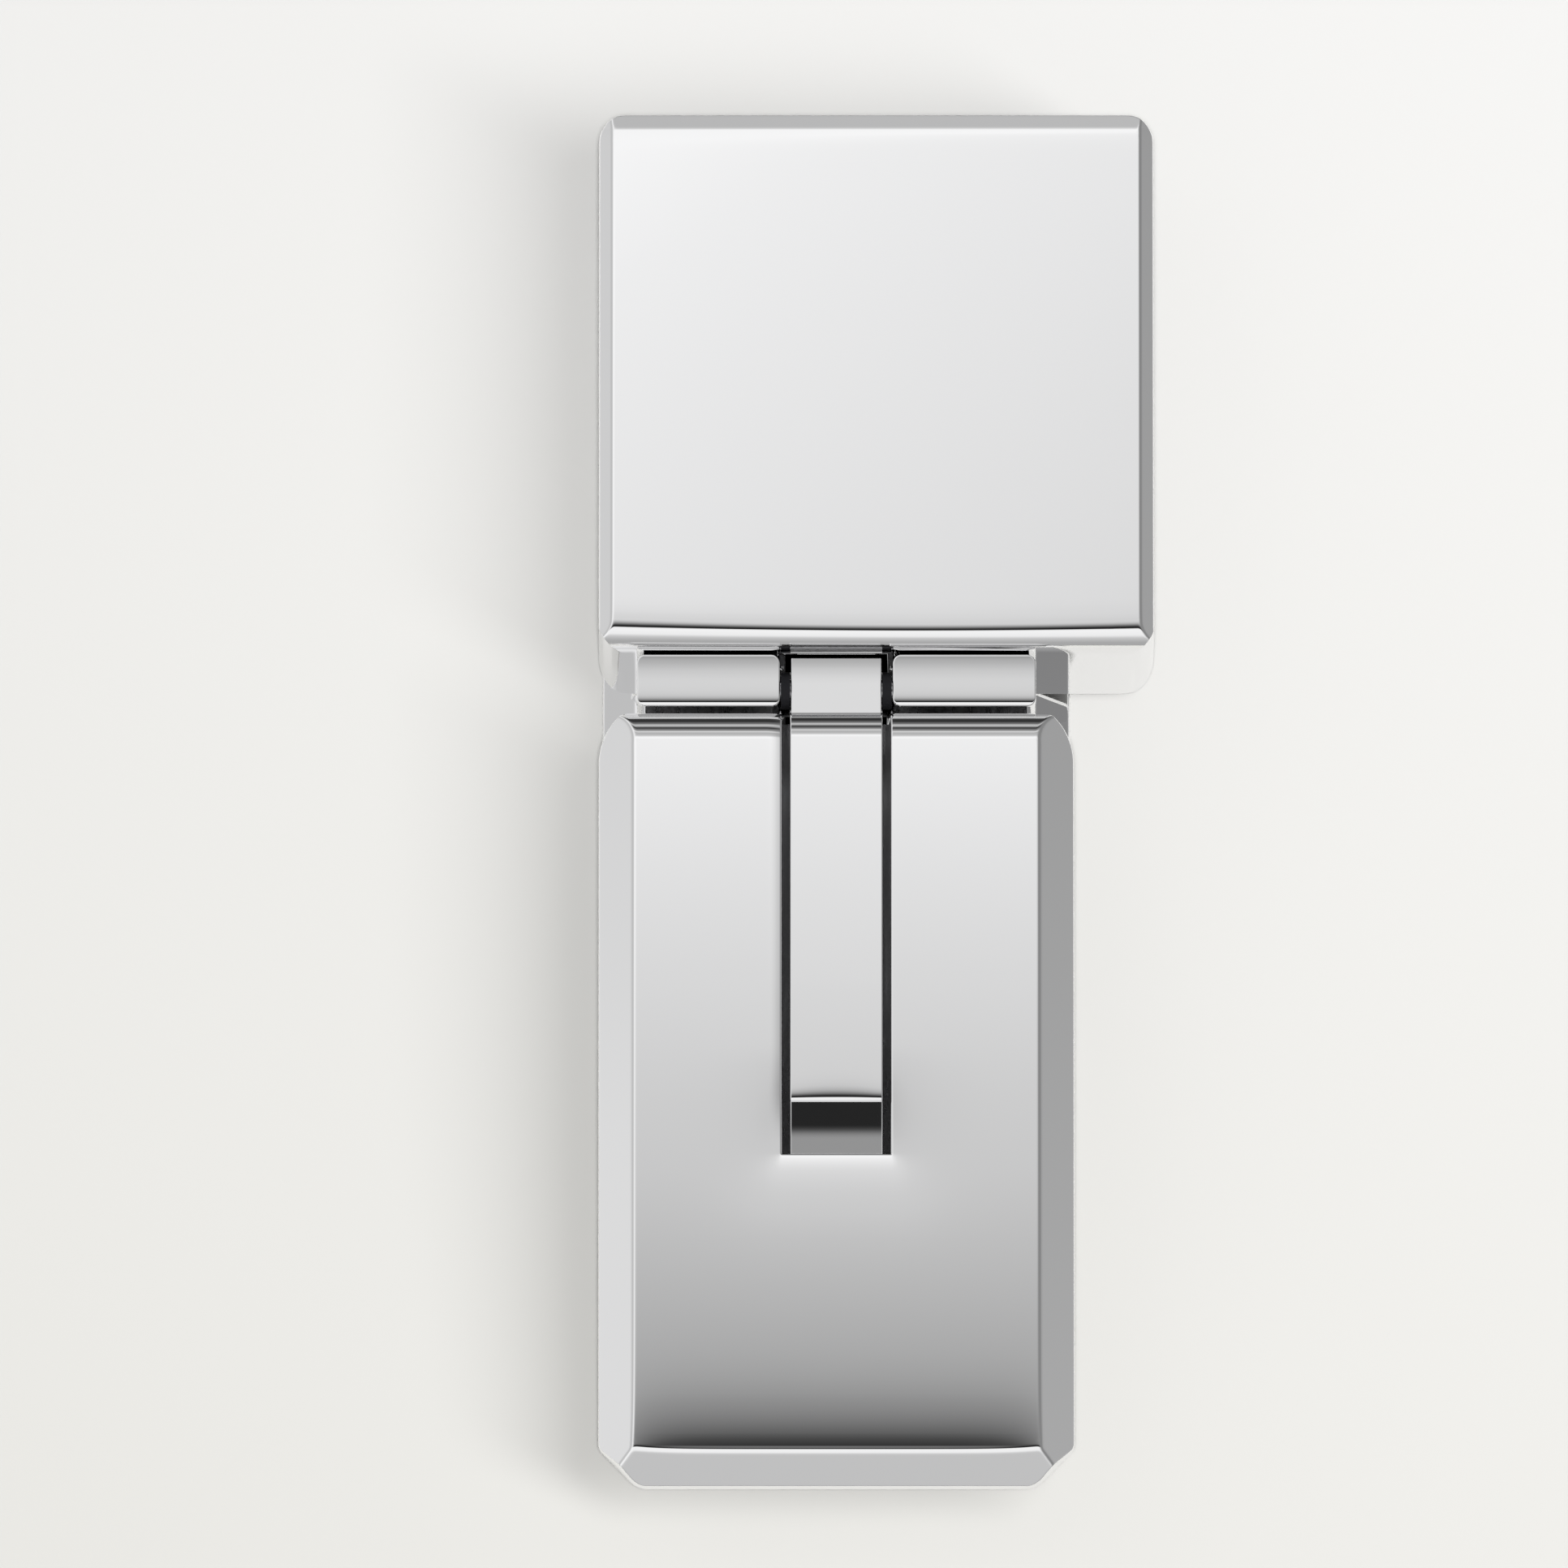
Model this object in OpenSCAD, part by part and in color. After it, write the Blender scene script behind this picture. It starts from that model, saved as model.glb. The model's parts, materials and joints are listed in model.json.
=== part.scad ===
// Hinged money clip. A hollow square head sits on a long back plate, and a bevelled arm
// lifts on a three-knuckle hinge at the head's edge. A flat steel strap joins the middle
// knuckle to the arm and works as the clamping spring; a leaf spring inside the head holds
// the knuckle shut or open. Millimetres, lying on its back: +Y towards the head, +Z up.

/* [Head] */
// Side of the square head
head_side = 25.6; // [24:0.2:28]
// How far the head passes the arm on the right
head_overhang = 3.7; // [0:0.1:5]
// Thickness of the head's walls and roof
head_wall = 1.2; // [1:0.1:1.4]
// Width of the bevel round the head's face
head_bevel = 0.65; // [0.3:0.05:0.9]
// Radius of the rounded upper edge on the hinge side
hinge_side_r = 1.1; // [0.8:0.05:1.1]

/* [Back plate] */
// Thickness of the back plate
plate_t = 1.2; // [1:0.1:1.4]
// Width of the back plate
plate_w = 21.6; // [19:0.1:21.8]
// Where the flat part ends and the lip starts to rise, measured from the head
lip_start = 14; // [12:0.5:16]
// Gap between the lip and the closed arm
pinch_gap = 0.25; // [0.15:0.05:0.5]

/* [Arm] */
// Height of the closed clip
clip_h = 9.2; // [9:0.1:9.6]
// Distance from the head to the arm's tip
arm_reach = 39.4; // [38:0.2:42]
// Width of the arm
arm_w = 21.9; // [21.8:0.1:23]
// Thickness of the arm
arm_t = 1.5; // [1.4:0.05:1.6]
// Height of the bevels round the arm
arm_bevel_h = 1.2; // [0.8:0.05:1.3]
// Width of the bevels along the sides
side_bevel = 1.65; // [1:0.05:2]
// Width of the bevel at the tip
tip_bevel = 1.6; // [1:0.05:2]
// Radius of the arm's rounded edge at the hinge
hinge_round = 1.15; // [0.8:0.05:1.2]
// Width of the slot for the strap
slot_w = 5; // [4.8:0.05:5.1]
// Where the slot ends, measured from the head
slot_end = 24.2; // [24:0.05:25]

/* [Hinge] */
// Distance of the hinge pin from the head
pin_y = 1.62; // [1.6:0.01:1.66]
// Height of the hinge pin
pin_z = 7.2; // [7.15:0.01:7.25]
// Diameter of the hinge pin
pin_d = 1; // [0.8:0.05:1.1]
// Width of the middle knuckle
knuckle_w = 4.16; // [4:0.02:4.2]
// Distance from the pin to the knuckle's two detent flats
detent_flat = 1.35; // [1.3:0.01:1.38]
// Outer edge of one hinge block, from the clip's middle
block_out = 9.2; // [8.5:0.1:9.4]

/* [Hidden] */
$fn = 48;
eps = 0.01;
steel = [0.80, 0.80, 0.81];
spring_steel = [0.62, 0.62, 0.64];
screw_steel = [0.50, 0.50, 0.52];
black = [0.12, 0.12, 0.13];

// The head's left side is flush with the arm's.
head_left = -arm_w / 2;
head_right = head_left + head_side;
// The hinge-side wall of the head is y = 0 while modelling; place() moves the finished
// clip so that the origin is the middle of its underside.
middle = [(head_left + head_right) / 2, (head_side - arm_reach) / 2, 0];

head_bevel_drop = 0.45;
head_back_drop = 0.2;
head_foot_r = 1.9;
head_corner_r = 0.7;
rim = 2.6;
base_top = 2.2;
post_r = 1.3;
post_x = 6.8;
post_y = [4.6, 21];

plate_back = 23.4;
plate_edge = 0.4;
plate_bevel = 0.9;
plate_corner = 2;
lip_peak = 35.5;
lip_end = 38.5;
lip_flare_r = 8;

arm_start = 2.95;
arm_len = arm_reach - arm_start;
arm_edge = arm_t - arm_bevel_h;
// The arm's bow: its crest, its radius, and the tighter radius added towards the tip.
crest = 8;
bow_r = 382;
droop_start = 16;
droop_r = 300;
arm_corner = 2.4;
arm_corner_w = 1.83;
tip_bevel_h = 1;
tip_chamfer = 1.8;

knuckle_top = 8.1;
tail_bottom = 7.1;
tail_end = 9;
cam_r = 1.64;
swing_clearance = 0.11;
bore_clearance = 0.03;

block_in = 2.6;
block_top = 8.15;
block_front = 2.55;
block_back = 0.12;
block_corner = 0.35;

strap_w = 4.26;
strap_t = clip_h - knuckle_top;
strap_round = 1.05;
// Just before the slot's end the strap steps down to a ledge, and there to the foot under the arm.
strap_end = 21.72;
jog_start = 19.6;
ledge_end = slot_end - 0.15;
ledge_drop = 0.38;
ledge_slope = 0.21;
foot_gap = 0.03;
foot_t = 0.9;
foot_end = 29.5;

leaf_w = 3.6;
leaf_t = 0.6;
leaf_top = pin_z - detent_flat - 0.02;
leaf_tip = 3.1;
leaf_root = 14.3;
seat = [6, 5.2];

fit = 0.02;
// Screw heads in the underside sit a little below its surface.
recess = 0.05;

// ---- helpers ----

module place() translate(-middle) children();

// A (y, z) outline drawn out to the full width w, centred on x = 0.
module across(w) rotate([90, 0, 90]) linear_extrude(w, center = true) children();

// A (x, z) outline drawn out from y = from to y = to.
module along(from, to) translate([0, to, 0]) rotate([90, 0, 0]) linear_extrude(to - from) children();

// Rectangle between two corners with round corners of radius r.
module round_rect(low, high, r) {
    translate([low[0] + r, low[1]]) square([high[0] - low[0] - 2 * r, high[1] - low[1]]);
    translate([low[0], low[1] + r]) square([high[0] - low[0], high[1] - low[1] - 2 * r]);
    for (x = [low[0] + r, high[0] - r], y = [low[1] + r, high[1] - r])
        translate([x, y]) circle(r);
}

// Countersunk screw: its head is flush with z = 0 and it points up.
module screw(length, head_r, shank_r) difference() {
    union() {
        cylinder(h = head_r - shank_r, r1 = head_r, r2 = shank_r);
        cylinder(h = length, r = shank_r);
    }
    translate([-head_r, -0.12, -eps]) cube([2 * head_r, 0.24, 0.25]);
}

// Hole for that screw, a little deeper than the screw, with a mouth just over its head.
module screw_hole(length, head_r, shank_r) {
    cylinder(h = head_r - shank_r, r1 = head_r + fit, r2 = shank_r + fit);
    cylinder(h = length + 0.1, r = shank_r + fit);
    mirror([0, 0, 1]) cylinder(h = 0.5, r = head_r + fit);
}

// Solid through a row of outlines with the same number of points.
module loft(rings) {
    n = len(rings[0]);
    last = len(rings) - 1;
    sides = [for (r = [0 : last - 1], i = [0 : n - 1])
        [r * n + i, (r + 1) * n + i, (r + 1) * n + (i + 1) % n, r * n + (i + 1) % n]];
    start = [[for (i = [0 : n - 1]) i]];
    end = [[for (i = [n - 1 : -1 : 0]) last * n + i]];
    polyhedron([for (ring = rings) each ring], concat(start, sides, end));
}

// Cross-section of a flat bar at y, with its two upper edges bevelled.
function bar_ring(y, low, edge, top, half, half_top) = [
    [-half, y, low], [half, y, low], [half, y, edge],
    [half_top, y, top], [-half_top, y, top], [-half, y, edge],
];

// How far a round corner of length l and width w cuts in, at distance d from the end.
function corner_cut(d, l, w) = d >= l ? 0 : w * (1 - sqrt(max(0, 1 - pow(1 - d / l, 2))));

// How far a rounded edge of radius r falls, at distance d from its end.
function edge_drop(d, r) = d >= r ? 0 : r - sqrt(r * r - pow(r - d, 2));

// ---- the arm's curve: a shallow bow that droops more towards the tip ----

function face_z(y) =
    clip_h - pow(y - crest, 2) / (2 * bow_r) - pow(max(0, y - droop_start), 2) / (2 * droop_r);

// ---- the back plate's lip: an S up to the pinch, then a short flare down ----

lip_rise = face_z(lip_peak) - arm_t - pinch_gap - plate_t;
function lip_z(y) =
    y > lip_peak ? lip_rise - pow(y - lip_peak, 2) / (2 * lip_flare_r) :
    let (t = (y - lip_start) / (lip_peak - lip_start)) lip_rise * t * t * (3 - 2 * t);

// ---- places of the screws ----

module at_posts() for (x = [-post_x, post_x], y = post_y) translate([x, y, 0]) children();
module sunk() translate([0, 0, recess]) children();
module at_block_screws() for (x = [-7.6, -4.3, 4.3, 7.6]) translate([x, -1.35, 0]) children();
module at_tail_screws() for (y = [5.2, 7.9]) translate([0, -y, tail_bottom]) children();
module at_foot_screws() for (y = [25.9, 28.1])
    translate([0, -y, face_z(y) - arm_t - foot_gap - foot_t]) children();
module at_spring_screws() for (y = [10.7, 13]) translate([0, y, leaf_top + 0.8])
    mirror([0, 0, 1]) children();

// ---- fixed frame ----

// Flat plate under the head, rising into a spring lip under the arm's tip.
module back_plate() color(steel) place() difference() {
    union() {
        intersection() {
            along(-lip_start, plate_back) polygon([
                [-plate_w / 2, 0], [plate_w / 2, 0], [plate_w / 2, plate_edge],
                [plate_w / 2 - plate_bevel, plate_t], [plate_bevel - plate_w / 2, plate_t],
                [-plate_w / 2, plate_edge],
            ]);
            linear_extrude(plate_t) round_rect([-plate_w / 2, -lip_start - plate_corner],
                [plate_w / 2, plate_back], plate_corner);
        }
        loft([for (y = concat([for (k = [0 : 16]) lip_start + k * (lip_peak - lip_start) / 16],
                              [for (k = [1 : 6]) lip_peak + k * (lip_end - lip_peak) / 6]))
            let (z = lip_z(y),
                 half = plate_w / 2 - corner_cut(lip_end - y, plate_corner, plate_corner))
            bar_ring(-y, z, z + plate_edge, z + plate_t, half, half - plate_bevel)]);
    }
    at_posts() sunk() screw_hole(plate_t, 1.1, 0.6);
    at_block_screws() sunk() screw_hole(plate_t, 0.9, 0.45);
}

// Plate that closes the head from below.
module head_base() color(steel) place() difference() {
    translate([0, 0, plate_t]) linear_extrude(base_top - plate_t)
        round_rect([head_left + rim + fit, rim + fit],
                   [head_right - rim - fit, head_side - rim - fit], 1);
    at_posts() cylinder(h = 3, r = 0.6 + fit);
}

// Outline of the head seen from the front: bevelled above, rounded below.
module head_front_outline() {
    roof = clip_h - head_bevel_drop;
    translate([head_left, 0]) intersection() {
        round_rect([0, plate_t], [head_side, clip_h + 5], head_foot_r);
        polygon([[0, 0], [head_side, 0], [head_side, roof], [head_side - head_bevel, clip_h],
                 [head_bevel, clip_h], [0, roof]]);
    }
}

// Outline of the head seen from the side: the hinge-side wall is y = 0.
module head_side_outline() intersection() {
    round_rect([-5, plate_t], [head_side, clip_h + 5], head_foot_r);
    polygon(concat(
        [[0, 0], [head_side, 0], [head_side, clip_h - head_back_drop],
         [head_side - head_bevel, clip_h]],
        [for (k = [0 : 8]) [hinge_side_r * (1 - sin(90 * k / 8)),
                            clip_h - hinge_side_r * (1 - cos(90 * k / 8))]]));
}

// Hollow head, open below, with four posts and a window for the leaf spring.
module head_shell() color(steel) place() difference() {
    union() {
        difference() {
            intersection() {
                along(0, head_side) head_front_outline();
                translate([(head_left + head_right) / 2, 0, 0]) across(head_side)
                    head_side_outline();
                linear_extrude(clip_h) round_rect([head_left, 0], [head_right, head_side],
                                                  head_corner_r);
            }
            translate([head_left + head_wall, head_wall, base_top + 0.1])
                cube([head_side - 2 * head_wall, head_side - 2 * head_wall,
                      clip_h - head_wall - base_top - 0.1]);
            translate([0, 0, plate_t - 1]) linear_extrude(2 + base_top - plate_t)
                round_rect([head_left + rim, rim], [head_right - rim, head_side - rim], 1);
        }
        at_posts() translate([0, 0, base_top + fit])
            cylinder(h = clip_h - head_wall - base_top, r = post_r);
    }
    at_posts() translate([0, 0, base_top - eps]) cylinder(h = 3.4, r = 0.6 + fit);
    translate([-2.35, -1, 4.8]) cube([4.7, 1 + 2 * head_wall, 2.5]);
    translate([0, -pin_y, pin_z]) rotate([0, 90, 0])
        cylinder(h = 4.7, r = cam_r + swing_clearance, center = true);
}

module head_screws() color(screw_steel) place() at_posts() sunk() screw(5, 1.1, 0.6);

// One outer hinge knuckle: an upright block with a rounded front edge and the pin's bore.
module hinge_block() color(steel) place() difference() {
    intersection() {
        linear_extrude(block_top) round_rect([block_in, -block_front],
                                             [block_out, -block_back], block_corner);
        translate([(block_in + block_out) / 2, 0, 0]) across(block_out - block_in)
            round_rect([-block_front, plate_t - 2], [-block_back, block_top], block_corner);
        translate([0, 0, plate_t]) linear_extrude(block_top)
            square(100, center = true);
    }
    translate([0, -pin_y, pin_z]) rotate([0, 90, 0]) {
        cylinder(h = 20, r = pin_d / 2);
        translate([0, 0, block_out - 0.5]) cylinder(h = 1, r = 0.65);
    }
    for (x = [4.3, 7.6]) translate([x, -1.35, 0]) cylinder(h = 4.6, r = 0.45 + fit);
}
module hinge_block_left() translate([-2 * middle[0], 0, 0]) mirror([1, 0, 0]) hinge_block();
module hinge_block_right() hinge_block();

module block_screws() color(screw_steel) place() at_block_screws() sunk() screw(4.5, 0.9, 0.45);

module hinge_pin() color(screw_steel) place() translate([0, -pin_y, pin_z]) rotate([0, 90, 0])
    cylinder(h = 2 * block_out - 1.1, r = pin_d / 2, center = true);

// Two plugs that close the pin's bore at the outer ends of the blocks.
module pin_end_plugs() color(steel) place() translate([0, -pin_y, pin_z])
    for (side = [-1, 1]) rotate([0, side * 90, 0])
        translate([0, 0, block_out - 0.5 + fit]) {
            cylinder(h = 0.33, r = 0.65);
            translate([0, 0, 0.33]) cylinder(h = 0.12, r1 = 0.65, r2 = 0.52);
        }

// Washers that keep the middle knuckle off the blocks.
module thrust_washers() color(black) place() translate([0, -pin_y, pin_z])
    for (side = [-1, 1]) rotate([0, side * 90, 0]) translate([0, 0, knuckle_w / 2 + 0.05])
        difference() {
            cylinder(h = block_in - knuckle_w / 2 - 0.1, r = 0.85);
            translate([0, 0, -1]) cylinder(h = 3, r = pin_d / 2 + fit);
        }

// Leaf spring that presses up on the knuckle's flats.
module detent_spring() color(spring_steel) place() difference() {
    union() {
        across(leaf_w) {
            translate([-leaf_tip, leaf_top - leaf_t]) square([leaf_tip + leaf_root, leaf_t]);
            translate([-leaf_tip, leaf_top - leaf_t / 2]) circle(leaf_t / 2);
        }
    }
    at_spring_screws() cylinder(h = 4, r = 0.5 + fit);
}

// Block that carries the leaf spring's root.
module spring_seat() color(steel) place() difference() {
    translate([-seat[0] / 2, leaf_root - seat[1], base_top])
        cube([seat[0], seat[1], leaf_top - leaf_t - base_top]);
    at_spring_screws() cylinder(h = 3.6, r = 0.5 + fit);
}

// Bar that holds the leaf spring down on its seat.
module spring_clamp() color(steel) place() difference() {
    translate([-seat[0] / 2, leaf_root - seat[1], leaf_top])
        cube([seat[0], seat[1], 0.8]);
    at_spring_screws() screw_hole(3.5, 0.9, 0.5);
}

module spring_screws() color(screw_steel) place() at_spring_screws() screw(3.5, 0.9, 0.5);

// ---- middle knuckle and strap ----

// Cam section with two flats at right angles, and the tail that carries the strap.
module hinge_knuckle() color(steel) place() difference() {
    across(knuckle_w) difference() {
        union() {
            translate([-pin_y, pin_z]) intersection() {
                circle(cam_r, $fn = 96);
                translate([-2, -detent_flat])
                    square([2 + detent_flat, detent_flat + knuckle_top - pin_z]);
            }
            translate([-tail_end, tail_bottom])
                square([tail_end - pin_y, knuckle_top - tail_bottom]);
        }
        translate([-pin_y, pin_z]) circle(pin_d / 2 + bore_clearance);
    }
    at_tail_screws() screw_hole(1.8, 0.8, 0.42);
}

// Height of the strap's upper side at y: flush with the arm, then the ledge, then the foot.
function strap_z(y) =
    y <= strap_end ? max(knuckle_top + 0.06, face_z(y) - edge_drop(y - arm_start, strap_round)) :
    y <= ledge_end ? face_z(strap_end) - ledge_drop - ledge_slope * (y - strap_end) :
    face_z(y) - arm_t - foot_gap;

// Height of its lower side: flat on the knuckle's tail, parallel to the face, then down to the foot.
function strap_low(y) =
    y <= tail_end ? knuckle_top :
    let (jog = min(1, max(0, (y - jog_start) / (ledge_end - jog_start))))
    face_z(y) - strap_t - (arm_t + foot_gap + foot_t - strap_t) * jog;

module spring_strap() color(spring_steel) place() difference() {
    stations = concat([for (k = [0 : 8]) arm_start + strap_round * pow(k / 8, 2)],
                      [crest, tail_end],
                      [for (k = [1 : 6]) tail_end + k * (strap_end - tail_end) / 6],
                      [for (k = [0 : 3]) strap_end + eps + k * (ledge_end - strap_end - eps) / 3],
                      [for (k = [0 : 4]) ledge_end + eps + k * (foot_end - ledge_end - eps) / 4]);
    across(strap_w) polygon(concat(
        [for (y = stations) [-y, strap_z(y)]],
        [for (k = [len(stations) - 1 : -1 : 0])
            let (y = stations[k]) [-y, strap_low(y)]]));
    at_tail_screws() screw_hole(1.8, 0.8, 0.42);
    at_foot_screws() screw_hole(1.7, 0.8, 0.42);
}

module tail_screws() color(screw_steel) place() at_tail_screws() screw(1.8, 0.8, 0.42);

// ---- arm ----

// Cross-section of the arm at y: bevels meet in mitres at the corners.
function arm_ring(y) =
    let (from_hinge = y - arm_start,
         from_tip = arm_reach - y,
         under = face_z(y) - arm_t,
         edge = under + arm_edge,
         rise = min(arm_bevel_h - edge_drop(from_hinge, hinge_round),
                    arm_bevel_h - tip_bevel_h * max(0, 1 - from_tip / tip_bevel)),
         cut = max(corner_cut(from_hinge, arm_corner, arm_corner_w), tip_chamfer - from_tip),
         half = arm_w / 2 - cut,
         half_top = min(half - eps, arm_w / 2 - side_bevel * rise / arm_bevel_h))
    bar_ring(-y, under, edge + min(rise - eps, arm_bevel_h * cut / side_bevel), edge + rise,
             half, half_top);

module arm_plate() color(steel) place() difference() {
    mitre_end = (arm_bevel_h * tip_chamfer / side_bevel - arm_bevel_h + tip_bevel_h) /
                (arm_bevel_h / side_bevel + tip_bevel_h / tip_bevel);
    body_len = arm_len - arm_corner - tip_chamfer;
    loft([for (d = concat([for (k = [0 : 8]) arm_corner * pow(k / 8, 2)],
                          [for (k = [1 : 20]) arm_corner + k * body_len / 20],
                          [arm_len - tip_bevel, arm_len - mitre_end, arm_len]))
        arm_ring(arm_start + d)]);
    translate([-slot_w / 2, -slot_end, 0]) cube([slot_w, slot_end, 20]);
    at_foot_screws() cylinder(h = 1.8, r = 0.42 + fit);
}

module foot_screws() color(screw_steel) place() at_foot_screws() screw(1.7, 0.8, 0.42);

back_plate();
head_base();
head_shell();
head_screws();
hinge_block_left();
hinge_block_right();
block_screws();
hinge_pin();
pin_end_plugs();
thrust_washers();
detent_spring();
spring_seat();
spring_clamp();
spring_screws();
hinge_knuckle();
spring_strap();
tail_screws();
arm_plate();
foot_screws();
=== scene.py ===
"""Hinged money clip in mirror-polished steel, lying closed on a pale studio floor.

Shapes are worked out in millimetres in the clip's own directions: x across, from the arm's middle;
y along, from the head's hinge-side wall, positive towards the head; z up from the floor.
d is the distance from that wall towards the arm's tip, so d = -y.
"""

import json
import math

import bmesh
import bpy
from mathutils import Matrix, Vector


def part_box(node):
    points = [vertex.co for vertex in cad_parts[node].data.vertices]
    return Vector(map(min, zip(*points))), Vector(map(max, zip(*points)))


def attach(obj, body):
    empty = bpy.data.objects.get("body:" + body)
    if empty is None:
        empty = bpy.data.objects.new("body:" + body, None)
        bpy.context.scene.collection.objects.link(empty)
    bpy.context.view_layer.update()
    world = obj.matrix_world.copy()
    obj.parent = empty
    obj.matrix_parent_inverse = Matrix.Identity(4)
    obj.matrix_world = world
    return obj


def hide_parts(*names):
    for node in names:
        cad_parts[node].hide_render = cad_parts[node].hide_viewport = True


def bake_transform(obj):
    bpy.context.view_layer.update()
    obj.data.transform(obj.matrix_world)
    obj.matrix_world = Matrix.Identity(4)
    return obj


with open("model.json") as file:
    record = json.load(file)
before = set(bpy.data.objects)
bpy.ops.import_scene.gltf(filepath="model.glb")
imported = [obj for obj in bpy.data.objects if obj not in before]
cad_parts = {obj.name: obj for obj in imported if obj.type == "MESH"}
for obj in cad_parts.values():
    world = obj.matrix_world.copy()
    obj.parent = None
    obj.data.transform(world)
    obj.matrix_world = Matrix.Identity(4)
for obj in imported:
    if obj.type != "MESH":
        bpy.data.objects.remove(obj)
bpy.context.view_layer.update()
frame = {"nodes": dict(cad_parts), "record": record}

# ---- places, from the frame ----

MM = 0.001
ARM_LOW, ARM_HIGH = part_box("arm_plate")
AXIS_X = (ARM_LOW.x + ARM_HIGH.x) / 2
WALL_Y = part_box("head_shell")[0].y


def place(x, y, z):
    """A point of the clip, in metres in the row frame."""
    return Vector((AXIS_X + x * MM, WALL_Y + y * MM, z * MM))


def local(point):
    """A row-frame point in the clip's own millimetres."""
    return (point.x - AXIS_X) / MM, (point.y - WALL_Y) / MM, point.z / MM


def node_box(name):
    """The two corners of a CAD node's box, in the clip's own millimetres."""
    low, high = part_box(name)
    return local(low), local(high)


(ARM_LEFT, ARM_TIP_Y, _), (ARM_RIGHT, ARM_START_Y, _) = node_box("arm_plate")
(HEAD_LEFT, _, HEAD_FOOT), (HEAD_RIGHT, HEAD_BACK, CLIP_TOP) = node_box("head_shell")
(_, PLATE_TIP_Y, _), (PLATE_RIGHT, PLATE_BACK, _) = node_box("back_plate")
(_, FOOT_END_Y, _), (STRAP_RIGHT, _, _) = node_box("spring_strap")
(KNUCKLE_LEFT, TAIL_END_Y, _), (KNUCKLE_RIGHT, _, KNUCKLE_TOP) = node_box("hinge_knuckle")
(_, PIN_FRONT_Y, PIN_LOW), (_, PIN_BACK_Y, PIN_HIGH) = node_box("hinge_pin")
PIN_Y = (PIN_FRONT_Y + PIN_BACK_Y) / 2
PIN_Z = (PIN_LOW + PIN_HIGH) / 2

ARM_HALF = (ARM_RIGHT - ARM_LEFT) / 2
ARM_START = -ARM_START_Y
ARM_REACH = -ARM_TIP_Y
ARM_T = 1.5
ARM_BEVEL_H = 1.2
SIDE_BEVEL = 1.65
TIP_BEVEL = 1.6
TIP_BEVEL_H = 1.0
HINGE_ROUND = 1.15
HINGE_ROLL = 1.5
ARM_CORNER = 2.4
ARM_CORNER_W = 1.83
TIP_CHAMFER = 1.8
TIP_CORNER_R = 1.2
CREST = 8
BOW_R = 382
DROOP_START = 16
DROOP_R = 300
SLOT_HALF = 2.5
SLOT_END = 24.2
ROLL_OFF = 0.125
SLOT_DISH = 0.145
SLOT_DISH_REACH = 5
ARM_INNER = 7

PLATE_T = HEAD_FOOT
PLATE_EDGE = 0.4
PLATE_BEVEL = 1.6
PLATE_CORNER = 2
PLATE_INNER = 7.5
SATIN_HALF = 9
SCREW_SPACING = 2.4
LIP_START = 14
LIP_PEAK = 35.5
LIP_FLARE_R = 8
PINCH_GAP = 0.25

STRAP_T = 1.1
STRAP_ROUND = 1.05
STRAP_ROLL = 1.4
STRAP_END = 21.72
STRAP_END_DROP = 0.42
STRAP_BOW_R = 470
JOG_START = 19.6
LEDGE_END = SLOT_END - 0.15
LEDGE_DROP = 0.38
FOOT_GAP = 0.03
FOOT_T = 0.9

HEAD_WALL = 1.2
HEAD_FOOT_R = 1.9
HEAD_CORNER_R = 1.2
HEAD_RIM = 2.6
HEAD_BEVEL = 0.65
HEAD_BEVEL_H = 0.45
HEAD_BACK_H = 0.057
HEAD_FRONT_R = 1.1
HEAD_FRONT_FLARE = 0.24
HEAD_BOW_R = 1400
HEAD_CREST = 9
HEAD_TWIST = 0.0011
NOTCH_DEPTH = 0.21
NOTCH_LOW = 7.96
BASE_TOP = 2.2
BLOCK_CORNER = 0.4
STEEP_END = 0.4
STEEP_EASE = 1
DETENT_FLAT = 1.35
CAM_R = 1.64
BORE_R = 0.5
MOUTH_R = 0.67
WINDOW_HALF = 2.35
WINDOW_LOW = 4.8
WINDOW_HIGH = 7.3

CREASE = 38


# ---- mesh helpers ----


def solid(name, points, faces):
    """A closed mesh from local points, smooth apart from edges sharper than CREASE degrees."""
    mesh = bpy.data.meshes.new(name)
    mesh.from_pydata([place(*p) for p in points], [], faces)
    bm = bmesh.new()
    bm.from_mesh(mesh)
    loose = [v for v in bm.verts if not v.link_faces]
    bmesh.ops.delete(bm, geom=loose, context="VERTS")
    bmesh.ops.recalc_face_normals(bm, faces=bm.faces)
    bm.to_mesh(mesh)
    bm.free()
    mesh.shade_smooth()
    mesh.set_sharp_from_angle(angle=math.radians(CREASE))
    piece = bpy.data.objects.new(name, mesh)
    bpy.context.scene.collection.objects.link(piece)
    return piece


def spans(*marks):
    """Numbers from the first mark to the last; each (place, step) sets the step up to the next."""
    numbers = [marks[0][0]]
    for (a, step), (b, _) in zip(marks, marks[1:]):
        count = max(1, math.ceil((b - a) / step - 1e-9))
        numbers += [a + (b - a) * i / count for i in range(1, count + 1)]
    return numbers


def mirrored(half):
    """The distances in half, on both sides of the middle."""
    return [-x for x in reversed(half) if x > 0] + half


def soft_min(a, b, blend):
    """The lower of two heights, rounded off where they are closer than blend."""
    near = max(blend - abs(a - b), 0) / blend
    return min(a, b) - near * near * blend / 4


def edge_round(distance, radius):
    """How far a rounded edge falls at this distance from its outer line."""
    if distance >= radius:
        return 0
    inward = radius - max(distance, 0)
    return radius - math.sqrt(max(radius * radius - inward * inward, 0))


def corner_cut(d, length, width):
    """How far a round corner cuts in, at distance d from the end."""
    return 0 if d >= length else width * (1 - math.sqrt(max(0, 1 - (1 - d / length) ** 2)))


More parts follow.
